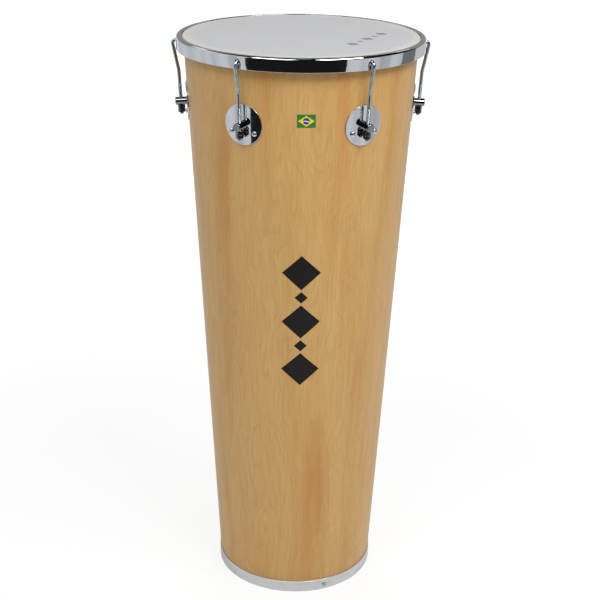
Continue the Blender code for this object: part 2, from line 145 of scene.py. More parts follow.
class DrumSizes(PropertyGroup):
    """Sizes of the drum's pieces"""

    shell_top_radius: length("Shell top radius", "Outer radius at the head", 0.1765)
    shell_foot_radius: length("Shell foot radius", "Outer radius at the floor", 0.1270)
    shell_wall: length("Shell wall", "Thickness of the moulded ply", 0.007)
    edge_round: length("Bearing edge round", "Round of the edge under the head", 0.003)
    foot_break: length("Foot break", "Broken corner of the shell at the floor", 0.0008)
    strip_sheet: length("Strip sheet", "Thickness of the foot strip", 0.001)
    hoop_sheet: length("Hoop sheet", "Thickness of the counter hoop's steel", 0.0016)
    hoop_corner: length("Hoop corner", "Outer radius of the hoop's folded corner", 0.0035)
    lip_inner: length("Lip inner radius", "Inner edge of the hoop's lip", 0.17935)
    hook_hole: length("Hook hole radius", "Holes in the hoop's band", 0.0034)
    film_radius: length("Film radius", "Outer radius of the film's collar", 0.17855)
    film_round: length("Film shoulder", "Round at the film's edge", 0.003)
    film_sheet: length("Film sheet", "Thickness of the film", 0.00035)
    rod_radius: length("Rod radius", "Radius of the plain rod", 0.00265)
    hook_bend: length("Hook bend", "Bend of the rod over the hoop's edge", 0.0055)
    knee_bend: length("Knee bend", "Bend of the rod at its knee", 0.020)
    knee_rise: length("Knee rise", "Post's axis up to the rod's knee", 0.047)
    thread_rise: length("Thread rise", "Post's axis up to the top of the thread", 0.027)
    rod_drop: length("Rod drop", "Post's axis down to the rod's end", 0.020)
    thread_radius: length("Thread radius", "Crest of the rod's thread", 0.00295)
    thread_depth: length("Thread depth", "Crest to root", 0.00058)
    thread_pitch: length("Thread pitch", "Rise of one turn of the thread", 0.001)
    plate_radius: length("Plate radius", "Round lug plate", 0.030)
    plate_sheet: length("Plate sheet", "Thickness of the lug plate", 0.0015)
    post_radius: length("Post radius", "Cross-bored post", 0.006)
    post_length: length("Post length", "Post out of its plate", 0.017)
    post_round: length("Post round", "Round of the post's end", 0.0011)
    bore_offset: length("Bore offset", "Rod's axis, out from the shell", 0.0105)
    lug_drop: length("Lug drop", "Top of the hoop to the post's axis", 0.1015)
    nut_flats: length("Nut across flats", "Hexagon nut's width", 0.010)
    nut_depth: length("Nut depth", "Hexagon nut's thickness", 0.0052)
    nut_chamfer: length("Nut chamfer", "Depth of the cut that rounds a nut's corners", 0.0013)
    screw_head: length("Screw head radius", "Pan head's radius", 0.00375)
    screw_rise: length("Screw head rise", "Pan head's height", 0.0024)
    print_height: length("Print height", "Lozenge chain on the shell, end to end", 0.215)
    print_width: length("Print width", "Widest lozenge of the chain", 0.058)
    print_middle: length("Print middle", "Height of the chain's middle", 0.4975)
    sticker_width: length("Label width", "Small flag label under the hoop", 0.0267)
    sticker_height: length("Label height", "Small flag label under the hoop", 0.0193)
    sticker_middle: length("Label middle", "Height of the label's middle", 0.8095)
    sticker_turn: angle("Label turn", "Label round the drum, from the front", 1.08)


class DrumColours(PropertyGroup):
    """Colours of the drum's finishes"""

    veneer: paint("Veneer", "Body colour of the lacquered veneer", "CDA262")
    veneer_light: paint("Veneer, light", "Pale stripes between the rings", "D4AA6B")
    veneer_dark: paint("Veneer, dark", "Late-wood lines", "B88848")
    veneer_warm: paint("Veneer, warm", "Orange flush in the wood", "C89150")
    veneer_heart: paint("Veneer, heart", "Heart figure low on the front", "BC8344")
    raw_ply: paint("Raw ply", "Inner wall and rings", "B89A6C")
    film: paint("Film", "Milky drumhead film", "B4B4B8")
    film_rim: paint("Film rim", "Film over its collar", "C4BEB4")
    chrome: paint("Chrome", "Bright chrome plate", "D4D7DC")
    # The posts' chrome, painted darker than the other chrome: a painted dark reflection over the chrome's
    # own colour
    nickel: paint("Nickel", "Darker plate of the posts", "8C8E92")
    zinc: paint("Zinc", "Clear zinc plate", "BEC8CC")
    nut: paint("Nut", "Dulled zinc of the nuts", "8B8880")
    aluminium: paint("Aluminium", "Satin foot strip", "E4E7E9")
    ink: paint("Ink", "Black screen print on the shell", "14120F")
    head_ink: paint("Head ink", "Grey print on the film", "77787B")
    label_green: paint("Label green", "Field of the label", "2E7A36")
    label_yellow: paint("Label yellow", "Lozenge of the label", "F0C52A")
    label_blue: paint("Label blue", "Disc of the label", "2B3C8E")
    label_white: paint("Label white", "Band of the label", "F1F1EE")


class DrumStage(PropertyGroup):
    """Camera, lamps and cards"""

    lens: FloatProperty(name="Lens", description="Focal length in millimetres", default=76.85, unit="CAMERA")
    camera_distance: length("Camera distance", "From the drum's axis, level", 1.9271)
    camera_height: length("Camera height", "Above the floor", 1.2449)
    camera_angle: angle("Camera angle", "Round the drum, from the front towards +X", -1.87)
    camera_pitch: angle("Camera pitch", "Downward tilt of the view", 21.875)
    camera_yaw: angle("Camera yaw", "Turn of the view to the right of the drum's axis", 0.113)
    camera_roll: angle("Camera roll", "Anticlockwise, seen from behind the camera", 0.817)
    card_radius: length("Card radius", "Reflected cards, from the drum's axis", 1.72)
    card_height: length("Card height", "Top of the tall reflected cards", 1.9)
    key_power: power("Key power", "Right softbox in watts", 31.0)
    fill_power: power("Fill power", "Left softbox in watts", 14.5)
    rear_power: power("Rear power", "Softbox behind the drum in watts", 22.0)
    sky: FloatProperty(
        name="Sky", description="Share of light from all round", default=0.42, subtype="FACTOR", min=0, max=1
    )


def sizes():
    return bpy.context.scene.drum_sizes


def colours():
    return bpy.context.scene.drum_colours


# Places on the drum


def around(radius, turn, height):
    """A point at a radius, an angle round the drum and a height."""
    return Vector((radius * math.sin(turn), -radius * math.cos(turn), height))


def station(turn, radius, height):
    """A place at an angle round the drum, its -Y pointing out."""
    return Matrix.Rotation(turn, 4, "Z") @ Matrix.Translation((0, -radius, height))


def node_place(node):
    """(angle, height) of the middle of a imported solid."""
    low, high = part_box(node)
    middle = (low + high) / 2
    return math.atan2(middle.x, -middle.y), middle.z


def taper():
    """Lean of the shell's wall from upright."""
    return math.atan((sizes().shell_top_radius - sizes().shell_foot_radius) / SHELL_TOP)


def wall_radius(height):
    return sizes().shell_foot_radius + height * math.tan(taper())


def lug_height():
    return TOP - sizes().lug_drop


def on_wall(across, height, proud):
    """A point on the wall, an arc length across from the front, standing proud of the wood."""
    return around(wall_radius(height) + proud / math.cos(taper()), across / wall_radius(height), height)


def wall_frame(turn, height, proud):
    """A place on the wall: +Z points square out of it, and +Y up along it."""
    lean = Matrix.Rotation(taper(), 4, "X") @ Matrix.Translation((0, -proud, 0))
    return station(turn, wall_radius(height), height) @ lean @ TO_FRONT


def axis_point(up):
    """(radius, height) on a rod's axis, a distance up from the post's axis."""
    out, lean = sizes().bore_offset, taper()
    radius = wall_radius(lug_height()) + out * math.cos(lean) + up * math.sin(lean)
    return radius, lug_height() - out * math.sin(lean) + up * math.cos(lean)


# Meshes


def arc(centre, radius, start, end, steps):
    """Points of an arc between two angles in degrees, counted from the outward direction."""
    turns = [math.radians(start + (end - start) * i / steps) for i in range(steps + 1)]
    return [(centre[0] + radius * math.cos(t), centre[1] + radius * math.sin(t)) for t in turns]


def draw(bm, outline, turn):
    """Draws (radius, height) points at an angle round the drum."""
    return [bm.verts.new(around(radius, turn, height)) for radius, height in outline]


def smooth(mesh, sharp):
    """Shades a mesh smooth, but for edges sharper than an angle in degrees."""
    mesh.shade_smooth()
    mesh.set_sharp_from_angle(angle=math.radians(sharp))
    return mesh


def skin(bm, rows, closed=True, capped=False):
    """Faces between neighbouring rows of points, all round when closed. A closed row may be one point."""
    for low, high in zip(rows, rows[1:]):
        steps = max(len(low), len(high))
        for i in range(steps if closed else steps - 1):
            j = (i + 1) % steps
            quad = (low[i % len(low)], low[j % len(low)], high[j % len(high)], high[i % len(high)])
            bm.faces.new(tuple(dict.fromkeys(quad)))
    for row in (rows[0], rows[-1]) if capped else ():
        bm.faces.new(row)


def finish_mesh(bm, name, sharp=40):
    """A smooth mesh of what was drawn, its doubles merged."""
    bmesh.ops.remove_doubles(bm, verts=bm.verts, dist=1e-7)
    bmesh.ops.recalc_face_normals(bm, faces=bm.faces)
    mesh = bpy.data.meshes.new(name)
    bm.to_mesh(mesh)
    bm.free()
    return smooth(mesh, sharp)


def turned(name, outline, steps=WIDE_STEPS, closed=True, sharp=40):
    """(radius, height) points turned about Z, with an unrolled map in metres and its seam at the back."""
    bm = bmesh.new()
    unrolled = bm.loops.layers.uv.new("unrolled")
    columns = [draw(bm, outline, math.pi + math.tau * i / steps) for i in range(steps)]
    along = [0.0]
    for before, after in zip(outline, outline[1:] + outline[:1]):
        along.append(along[-1] + math.dist(before, after))
    middle = sum(r for r, z in outline) / len(outline)
    for i in range(steps):
        ahead = columns[(i + 1) % steps]
        for j in range(len(outline) if closed else len(outline) - 1):
            k = (j + 1) % len(outline)
            corners = [columns[i][j], ahead[j], ahead[k], columns[i][k]]
            places = [(i, j), (i + 1, j), (i + 1, j + 1), (i, j + 1)]
            # A face that touches the axis has three corners, and one that lies on it is left out
            kept = [n for n, v in enumerate(corners) if v.co.xy.length > 1e-9 or n in (0, 2)]
            if len({tuple(corners[n].co) for n in kept}) < 3:
                continue
            face = bm.faces.new([corners[n] for n in kept])
            for loop, n in zip(face.loops, kept):
                column, row = places[n]
                loop[unrolled].uv = ((column / steps - 0.5) * math.tau * middle, along[row])
    return finish_mesh(bm, name, sharp)


def tube(name, path):
    """A tube along (radius, height, thickness function) stations in the plane of angle 0."""
    bm = bmesh.new()
    rings = []
    for index, (radius, height, thickness) in enumerate(path):
        before = path[max(index - 1, 0)]
        after = path[min(index + 1, len(path) - 1)]
        along = Vector((after[0] - before[0], after[1] - before[1])).normalized()
        ring = []
        for i in range(TUBE_SIDES):
            turn = math.tau * i / TUBE_SIDES
            side = thickness(turn) * math.cos(turn)
            out = -thickness(turn) * math.sin(turn)
            ring.append(bm.verts.new((side, -(radius + out * along.y), height - out * along.x)))
        rings.append(ring)
    skin(bm, rings, capped=True)
    return finish_mesh(bm, name, sharp=50)


def fillet(before, corner, after, radius, steps):
    """Points of the bend that rounds a corner of a rod."""
    first = (Vector(before) - Vector(corner)).normalized()
    second = (Vector(after) - Vector(corner)).normalized()
    half = first.angle(second) / 2
    centre = Vector(corner) + (first + second).normalized() * radius / math.sin(half)
    reach = radius / math.tan(half)
    start = Vector(corner) + first * reach - centre
    end = Vector(corner) + second * reach - centre
    swing = start.angle_signed(end)
    return [tuple(centre + Matrix.Rotation(-swing * i / steps, 2) @ start) for i in range(steps + 1)]


def cutter(radius, half_length):
    """A drill about the origin, along Z."""
    bm = bmesh.new()
    bmesh.ops.create_cone(
        bm, cap_ends=True, segments=BORE_STEPS, radius1=radius, radius2=radius, depth=2 * half_length
    )
    return finish_mesh(bm, "cutter")


def boolean_mesh(mesh, cutters, name):
    """The mesh with each (cutter, place) taken out of it."""
    body = add_object("blank", mesh)
    tools = []
    for shape, spot in cutters:
        tools.append(add_object("tool", shape, spot))
        body.modifiers.new("cut", "BOOLEAN").object = tools[-1]
    bpy.context.view_layer.update()
    graph = bpy.context.evaluated_depsgraph_get()
    made = bpy.data.meshes.new_from_object(body.evaluated_get(graph))
    made.name = name
    for obj in [body, *tools]:
        bpy.data.objects.remove(obj)
    return smooth(made, sharp=40)


def sheet_patch(name, rows, proud, thick):
    """A thin print or label on the wall from rows of (across, height) points, each of one length."""
    bm = bmesh.new()
    loops = []
    for row in rows:
        under = [bm.verts.new(on_wall(s, z, proud)) for s, z in row]
        over = [bm.verts.new(on_wall(s, z, proud + thick)) for s, z in row]
        loops.append(under + over[::-1])
    skin(bm, loops)
    for end in (loops[0], loops[-1]):
        half = len(end) // 2
        skin(bm, [end[:half], end[half:][::-1]], closed=False)
    return finish_mesh(bm, name, sharp=30)


def band_rows(bottom, top, half_width, middle, steps, columns):
    """Rows for a patch whose half width is a function of the share of its height, 0 to 1."""
    rows = []
    for i in range(steps + 1):
        share = i / steps
        height = bottom + (top - bottom) * share
        half = max(half_width(share), POINT)
        rows.append([(middle + half * (2 * c / columns - 1), height) for c in range(columns + 1)])
    return rows


def lozenge(half):
    """Half width of a lozenge at a share of its height."""
    return lambda share: half * (1 - abs(2 * share - 1))


# Objects


def add_object(name, data, matrix=Matrix()):
    obj = bpy.data.objects.new(name, data)
    obj.matrix_world = matrix
    bpy.context.scene.collection.objects.link(obj)
    return obj


def dress(mesh, *names):
    """The mesh with these finishes in place of its own."""
    mesh.materials.clear()
    for name in names:
        mesh.materials.append(finish(name))
    return mesh


def place(name, mesh, body, replaced=None, matrix=Matrix()):
    """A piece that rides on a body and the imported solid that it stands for."""
    obj = add_object(name, mesh, matrix)
    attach(obj, body)
    if replaced:
        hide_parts(replaced)


# Finishes


# Settings of a Mix node that lays a colour over another, and of one that darkens it
LAY = {"data_type": "RGBA"}
DARKEN = {"data_type": "RGBA", "blend_type": "MULTIPLY"}


def rgba(tone):
    """A colour, or a grey given by one number, with its alpha."""
    return (tone, tone, tone, 1) if isinstance(tone, float) else (*tone, 1)


def fill(node, *ordered, **named):
    """Sets inputs in the order of those in use, or by name. A node or an output is linked."""
    in_use = [socket for socket in node.inputs if socket.enabled]
    by_name = [(node.inputs[name.replace("_", " ")], value) for name, value in named.items()]
    for socket, value in [*zip(in_use, ordered), *by_name]:
        if isinstance(value, Node):
            value = next(output for output in value.outputs if output.enabled)
        if isinstance(value, NodeSocket):
            node.id_data.links.new(value, socket)
        else:
            socket.default_value = rgba(value) if socket.type == "RGBA" else value


def add_node(tree, kind, *ordered, stops=(), **named):
    """Adds a node, fills its inputs and sets a ramp's stops. Names in small letters are its settings."""
    made = tree.nodes.new("ShaderNode" + kind)
    for name, value in named.items():
        if name[0].islower():
            setattr(made, name, value)
    fill(made, *ordered, **{name: value for name, value in named.items() if name[0].isupper()})
    for _ in range(len(stops) - 2):
        made.color_ramp.elements.new(0.5)
    for index, position in enumerate(stops):
        made.color_ramp.elements[index].position = position
        made.color_ramp.elements[index].color = rgba(stops[position])
    return made


def per_metre(size_mm):
    """Noise scale that gives features of a size in millimetres."""
    return 1000 / size_mm


def long_grain(add, unrolled, across_mm, along_mm, detail, distortion, roughness=0.55, shift=0.0):
    """A pattern on the unrolled map whose marks have a width and a length in millimetres."""
    stretch = (per_metre(across_mm), per_metre(along_mm), 1)
    marks = add("Mapping", Vector=unrolled, Location=(shift, shift, 0), Scale=stretch)
    return add("TexNoise", Vector=marks, Scale=1, Detail=detail, Roughness=roughness, Distortion=distortion)


def lacquered_veneer(add, shader):
    """Light hardwood veneer, rotary cut, under two coats of clear lacquer: upright figure that runs into
    tall arches, soft late-wood lines, fine pores, and a smooth semi-gloss skin."""
    tones = colours()
    unrolled = add("UVMap", uv_map="unrolled")
    flitch = long_grain(add, unrolled, 46, 620, 3, 0.4)
    stripes = {0.30: tones.veneer_warm, 0.43: tones.veneer, 0.58: tones.veneer_light, 0.74: tones.veneer}
    wood = add("ValToRGB", flitch, stops=stripes)
    # Growth rings 11 mm apart, pushed aside by up to 15 rings in a slow drift that makes tall arches
    drift = long_grain(add, unrolled, 70, 260, 2, 0.0, shift=3.1)
    across = add("Math", add("SeparateXYZ", unrolled), per_metre(11), operation="MULTIPLY")
    pushed = add("Math", drift, 15.0, across, operation="MULTIPLY_ADD")
    waver = long_grain(add, unrolled, 5, 90, 3, 0.2, shift=1.3)
    rings = add("Math", waver, 0.7, pushed, operation="MULTIPLY_ADD")
    rings = add("Math", rings, operation="FRACT")
    late = add("ValToRGB", rings, stops={0.0: 0.0, 0.62: 0.25, 0.90: 1.0, 1.0: 0.0})
    late = add("Math", late, 0.26, operation="MULTIPLY")
    # Fibres 1.6 mm wide and pores 0.9 mm wide, coarser than real ones so that they show in the render
    fibre = long_grain(add, unrolled, 1.6, 48, 5, 0.1, 0.65, shift=7.0)
    streaks = add("ValToRGB", fibre, stops={0.34: 0.82, 0.52: 0.97, 0.70: 1.05})
    pores = long_grain(add, unrolled, 0.9, 9, 2, 0.0, 0.5, shift=11.0)
    pits = add("ValToRGB", pores, stops={0.27: 1.0, 0.36: 0.0})
    pits = add("Math", pits, 0.30, operation="MULTIPLY")
    # Broad cloud that flushes the wood orange in places
    cloud = long_grain(add, unrolled, 120, 210, 2, 0.3, shift=5.5)
    flush = add("ValToRGB", cloud, stops={0.50: 0.0, 0.72: 0.26})
    # Heart figure low on the front, an orange flame with ragged edges
    spot = {"Location": (*HEART_PLACE, 0), "Scale": (*HEART_REACH, 1)}
    flame = add("Mapping", Vector=unrolled, vector_type="TEXTURE", **spot)
    reach = add("VectorMath", flame, operation="LENGTH")
    ragged = long_grain(add, unrolled, 9, 70, 4, 0.3, shift=4.2)
    edge = add("Math", ragged, 1.1, reach, operation="MULTIPLY_ADD")
    edge = add("Math", edge, 0.40, operation="SUBTRACT")
    heart = add("ValToRGB", edge, stops={0.35: 0.62, 1.0: 0.0})
    layers = (
        (late, tones.veneer_dark, LAY),
        (0.75, streaks, DARKEN),
        (pits, tones.veneer_dark, LAY),
        (flush, tones.veneer_warm, LAY),
        (heart, tones.veneer_heart, LAY),
    )
    for share, tone, way in layers:
        wood = add("Mix", share, wood, tone, **way)
    gloss = add("ValToRGB", fibre, stops={0.3: 0.46, 0.7: 0.38})
    relief = add("Bump", Height=fibre, Distance=0.02 * MM, Strength=0.4)
    fill(shader, Base_Color=wood, Roughness=gloss, IOR=1.5, Specular_IOR_Level=0.25, Normal=relief)
    fill(shader, Coat_Weight=0.22, Coat_Roughness=0.14, Coat_IOR=1.4)


def raw_ply(add, shader):
    """Unlacquered birch ply inside the drum: dry, open grained and matt."""
    where = add("TexCoord").outputs["Object"]
    grain = add("Mapping", Vector=where, Scale=(per_metre(3), per_metre(3), per_metre(60)))
    grain = add("TexNoise", Vector=grain, Scale=1, Detail=5)
    tone = add("ValToRGB", grain, stops={0.3: colours().veneer_dark, 0.55: colours().raw_ply})
    relief = add("Bump", Height=grain, Distance=0.08 * MM, Strength=0.5)
    fill(shader, Base_Color=tone, Roughness=0.78, IOR=1.5, Normal=relief)


def polyester_film(add, shader):
    """Milky polyester drumhead film: smooth, slightly satin, creamier where it folds over the edge."""
    where = add("TexCoord").outputs["Object"]
    radius = add("VectorMath", add("Mapping", Vector=where, Scale=(1, 1, 0)), operation="LENGTH")
    share = add("Math", radius, sizes().film_radius, operation="DIVIDE")
    rim = add("ValToRGB", share, stops={0.90: colours().film, 0.985: colours().film_rim})
    haze = add("TexNoise", Vector=where, Scale=per_metre(60), Detail=3)
    haze = add("ValToRGB", haze, stops={0.3: 0.95, 0.7: 1.0})
    tone = add("Mix", 0.5, rim, haze, **DARKEN)
    grit = add("TexNoise", Vector=where, Scale=per_metre(0.9), Detail=2)
    gloss = add("ValToRGB", grit, stops={0.3: 0.40, 0.7: 0.48})
    relief = add("Bump", Height=grit, Distance=0.004 * MM, Strength=0.3)
    fill(shader, Base_Color=tone, Roughness=gloss, IOR=1.57, Specular_IOR_Level=0.35, Normal=relief)
    fill(shader, Subsurface_Weight=0.12, Subsurface_Scale=0.002)


def mirror_plate(add, shader, tone):
    """Steel, polished and chrome plated: a cold mirror with faint polishing marks."""
    where = add("TexCoord").outputs["Object"]
    marks = add("TexNoise", Vector=where, Scale=per_metre(4), Detail=6)
    smear = add("ValToRGB", marks, stops={0.35: 0.04, 0.62: 0.08, 0.8: 0.13})
    dulled = add("ValToRGB", marks, stops={0.3: 0.88, 0.6: 1.0})
    plate = add("Mix", 0.35, getattr(colours(), tone), dulled, **DARKEN)
    relief = add("Bump", Height=marks, Distance=0.01 * MM, Strength=0.12)
    fill(shader, Base_Color=plate, Roughness=smear, Metallic=1, Normal=relief)


def zinc_plate(add, shader, tone, smoothest, roughest):
    """Steel, barrel plated with clear zinc: a bluish grey that is duller than chrome and a little patchy."""
    where = add("TexCoord").outputs["Object"]
    patches = add("TexNoise", Vector=where, Scale=per_metre(6), Detail=5)
    plate = getattr(colours(), tone)
    worn = [0.80 * share for share in plate]
    patched = add("ValToRGB", patches, stops={0.34: worn, 0.56: plate})
    gloss = add("ValToRGB", patches, stops={0.3: roughest, 0.7: smoothest})
    relief = add("Bump", Height=patches, Distance=0.02 * MM, Strength=0.15)
    fill(shader, Base_Color=patched, Roughness=gloss, Metallic=1, Normal=relief)


def satin_aluminium(add, shader):
    """Rolled aluminium strip, brushed lengthwise: satin, with fine scratches along it."""
    unrolled = add("UVMap", uv_map="unrolled")
    # Scratches 0.5 mm wide, coarser than real ones so that they show in the render
    lines = long_grain(add, unrolled, 38, 0.5, 4, 0.2)
    stains = long_grain(add, unrolled, 16, 9, 3, 0.4, shift=2.0)
    tone = colours().aluminium
    for share, marks, darkest in ((0.8, lines, 0.80), (0.5, stains, 0.86)):
        worn = add("ValToRGB", marks, stops={0.3: darkest, 0.6: 1.0})
        tone = add("Mix", share, tone, worn, **DARKEN)
    gloss = add("ValToRGB", lines, stops={0.3: 0.46, 0.7: 0.32})
    relief = add("Bump", Height=lines, Distance=0.03 * MM, Strength=0.35)
    fill(shader, Base_Color=tone, Roughness=gloss, Metallic=1, Normal=relief)


def drawn_aluminium(add, shader):
    """Drawn aluminium channel, left plain: grey and evenly dull."""
    where = add("TexCoord").outputs["Object"]
    lines = add("TexNoise", Vector=where, Scale=per_metre(2), Detail=3)
    gloss = add("ValToRGB", lines, stops={0.3: 0.45, 0.7: 0.33})
    fill(shader, Base_Color=colours().aluminium, Roughness=gloss, Metallic=1)


def screen_ink(add, shader, tone, roughness):
    """Screen-printed ink or printed vinyl: flat colour with a faint grain where it lies thin."""
    where = add("TexCoord").outputs["Object"]
    grain = add("TexNoise", Vector=where, Scale=per_metre(1.5), Detail=3)
    full = getattr(colours(), tone)
    thin = [min(1.0, share * 1.12 + 0.004) for share in full]
    toned = add("ValToRGB", grain, stops={0.4: full, 0.75: thin})
    fill(shader, Base_Color=toned, Roughness=roughness, IOR=1.5, Specular_IOR_Level=0.2)


def swap_shader(shader, surface):
    """A stage finish shows this surface in place of its usual shader."""
    tree = shader.id_data
    tree.nodes.remove(shader)
    fill(tree.nodes["Material Output"], Surface=surface)


def card_light(add, shader, strength, banded=False):
    """Light of a studio card: even, or with faint upright bands like those of its panels."""
    tone = 1.0
    if banded:
        where = add("TexCoord").outputs["Object"]
        panels = add("Mapping", Vector=where, Scale=(2.2, 2.2, 0.12))
        panels = add("TexNoise", Vector=panels, Scale=1, Detail=2)
        tone = add("ValToRGB", panels, stops={0.35: (0.62, 0.63, 0.66), 0.5: (0.86, 0.87, 0.90), 0.62: 1.0})
    swap_shader(shader, add("Emission", tone, strength))


def paper_floor(add, shader):
    """Matt white paper. The camera sees it glow, with a thin shadow on it, and the drum sees plain paper."""
    paper = add("BsdfDiffuse", 0.80)
    thin = add("BsdfDiffuse", 0.20)
    away = add("VectorMath", add("TexCoord").outputs["Object"], operation="LENGTH")
    share = add("Math", away, FLOOR_FADE, operation="DIVIDE")
    sweep = add("ValToRGB", share, stops={0.12: 0.80, 0.55: 1.0})
    seen = add("AddShader", add("Emission", sweep, 1.0), thin)
    by_camera = add("LightPath").outputs["Is Camera Ray"]
    swap_shader(shader, add("MixShader", by_camera, paper, seen))


# How each finish is made: its function, its colour, and its roughness or light
FINISHES = {
    "lacquered_hardwood_veneer": (lacquered_veneer,),
    "raw_birch_ply": (raw_ply,),
    "milky_polyester_film": (polyester_film,),
    "chrome_plated_steel": (mirror_plate, "chrome"),
    # The posts' chrome is painted darker: a painted dark reflection
    "chrome_plated_post": (mirror_plate, "nickel"),
    "clear_zinc_plated_steel": (zinc_plate, "zinc", 0.22, 0.32),
    "dulled_zinc_plated_steel": (zinc_plate, "nut", 0.14, 0.28),
    "satin_rolled_aluminium": (satin_aluminium,),
    "drawn_aluminium": (drawn_aluminium,),
    "black_screen_ink": (screen_ink, "ink", 0.35),
    "grey_screen_ink": (screen_ink, "head_ink", 0.5),
    "printed_vinyl_label_field": (screen_ink, "label_green", 0.3),
    "printed_vinyl_label_lozenge": (screen_ink, "label_yellow", 0.3),
    "printed_vinyl_label_disc": (screen_ink, "label_blue", 0.3),
    "printed_vinyl_label_band": (screen_ink, "label_white", 0.3),
    "dark_card": (card_light, 0.012),
    "pale_card": (card_light, 0.80, True),
    "grey_card": (card_light, 0.30),
    "dim_card": (card_light, 0.20),
    "white_paper_floor": (paper_floor,),
}


def finish(name):
    """The finish of that name, made when it is first asked for."""
    made = bpy.data.materials.get(name)
    if made is None:
        made = bpy.data.materials.new(name)
        made.use_nodes = True
        build, *values = FINISHES[name]
        build(partial(add_node, made.node_tree), made.node_tree.nodes["Principled BSDF"], *values)
    return made


# Pieces


class DRUM_OT_shell(Operator):
    """Makes the tapered shell with its bearing edge, and finishes the rings inside it"""

    bl_idname = "drum.shell"
    bl_label = "Shell"

    def execute(self, context):
        size = sizes()
        wall = size.shell_wall / math.cos(taper())
        shoulder = SHELL_TOP - size.edge_round
        crown = (wall_radius(shoulder) - size.edge_round, shoulder)
        levels = [shoulder * i / WALL_LEVELS for i in range(1, WALL_LEVELS)]
        outline = [
            (wall_radius(0) - size.foot_break, 0),
            (wall_radius(size.foot_break), size.foot_break),
            *((wall_radius(z), z) for z in levels),
            *arc(crown, size.edge_round, 0, 90, steps=8),
            (crown[0] - size.edge_round / 2, SHELL_TOP),
            (wall_radius(shoulder) - wall, shoulder),
            (wall_radius(0) - wall, 0),
        ]
        mesh = turned("shell_wood", outline, sharp=50)
        dress(mesh, "lacquered_hardwood_veneer", "raw_birch_ply")
        within = 0.7 * size.shell_wall
        for face in mesh.polygons:
            if face.center.xy.length < wall_radius(face.center.z) - within:
                face.material_index = 1
        place("shell_wood", mesh, "root", "shell")
        for node in ("top_inner_ring", "foot_inner_ring"):
            dress(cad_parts[node].data, "raw_birch_ply")
        return {"FINISHED"}


class DRUM_OT_foot_strip(Operator):
    """Makes the rolled strip round the foot, and its screws"""

    bl_idname = "drum.foot_strip"
    bl_label = "Foot strip"

    def execute(self, context):
        outer, top = FOOT_BAND_OUTER, FOOT_BAND_TOP
        inner = outer - sizes().strip_sheet
        edge = 0.3 * MM
        outline = [
            (outer - edge, 0),
            (outer, edge),
            *((outer, top * i / STRIP_LEVELS) for i in range(1, STRIP_LEVELS)),
            (outer, top - edge),
            (outer - edge, top),
            (inner, top),
            (inner, 0),
        ]
        strip = dress(turned("foot_strip", outline), "satin_rolled_aluminium")
        place("foot_strip", strip, "root", "foot_band")
        screw = dress(screw_mesh("strip_screw"), "clear_zinc_plated_steel")
        for number in (1, 2, 3):
            node = f"foot_band_screw_{number}"
            turn, height = node_place(node)
            seat = station(turn, outer, height) @ TO_FRONT
            place(f"strip_screw_{number}", screw, "root", node, seat)
        return {"FINISHED"}


class DRUM_OT_head(Operator):
    """Makes the film with its shoulder and its small print, and finishes the hoop that holds it"""

    bl_idname = "drum.head"
    bl_label = "Head"

    def execute(self, context):
        size = sizes()
        film, shoulder, thick = size.film_radius, size.film_round, size.film_sheet
        crown = (film - shoulder, FILM_TOP - shoulder)
        rings = [crown[0] * i / FILM_RINGS for i in range(FILM_RINGS)]
        outline = [
            *((radius, FILM_TOP) for radius in rings),
            *arc(crown, shoulder, 90, 0, steps=8),
            (film, FILM_FOOT + thick),
            (film + shoulder, FILM_FOOT + thick),
            (film + shoulder, FILM_FOOT),
            (film - thick, FILM_FOOT),
            *arc(crown, shoulder - thick, 0, 90, steps=6),
            *((radius, FILM_TOP - thick) for radius in reversed(rings)),
        ]
        mesh = dress(turned("drumhead_film", outline, closed=False, sharp=50), "milky_polyester_film")
        place("drumhead_film", mesh, "head_set", "head_film")
        dress(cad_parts["flesh_hoop"].data, "drawn_aluminium")
        self.print_mark()
        return {"FINISHED"}

    def print_mark(self):
        """A row of small lozenges on the film, in grey ink."""
        start, end = Vector(HEAD_MARK[0]), Vector(HEAD_MARK[1])
        squat = 0.78
        along = (end - start).normalized() * squat
        across = along.normalized().orthogonal()
        lift = FILM_TOP + FILM_INK_LIFT
        bm = bmesh.new()
        for i, half in enumerate(HEAD_LOZENGES):
            middle = start.lerp(end, (i + 0.5) / len(HEAD_LOZENGES))
            corners = [middle + way * half for way in (along, across, -along, -across)]
            low = [bm.verts.new((*corner, lift)) for corner in corners]
            high = [bm.verts.new((*corner, lift + INK)) for corner in corners]
            skin(bm, [low, high], capped=True)
        mesh = dress(finish_mesh(bm, "head_print"), "grey_screen_ink")
        place("head_print", mesh, "head_set")


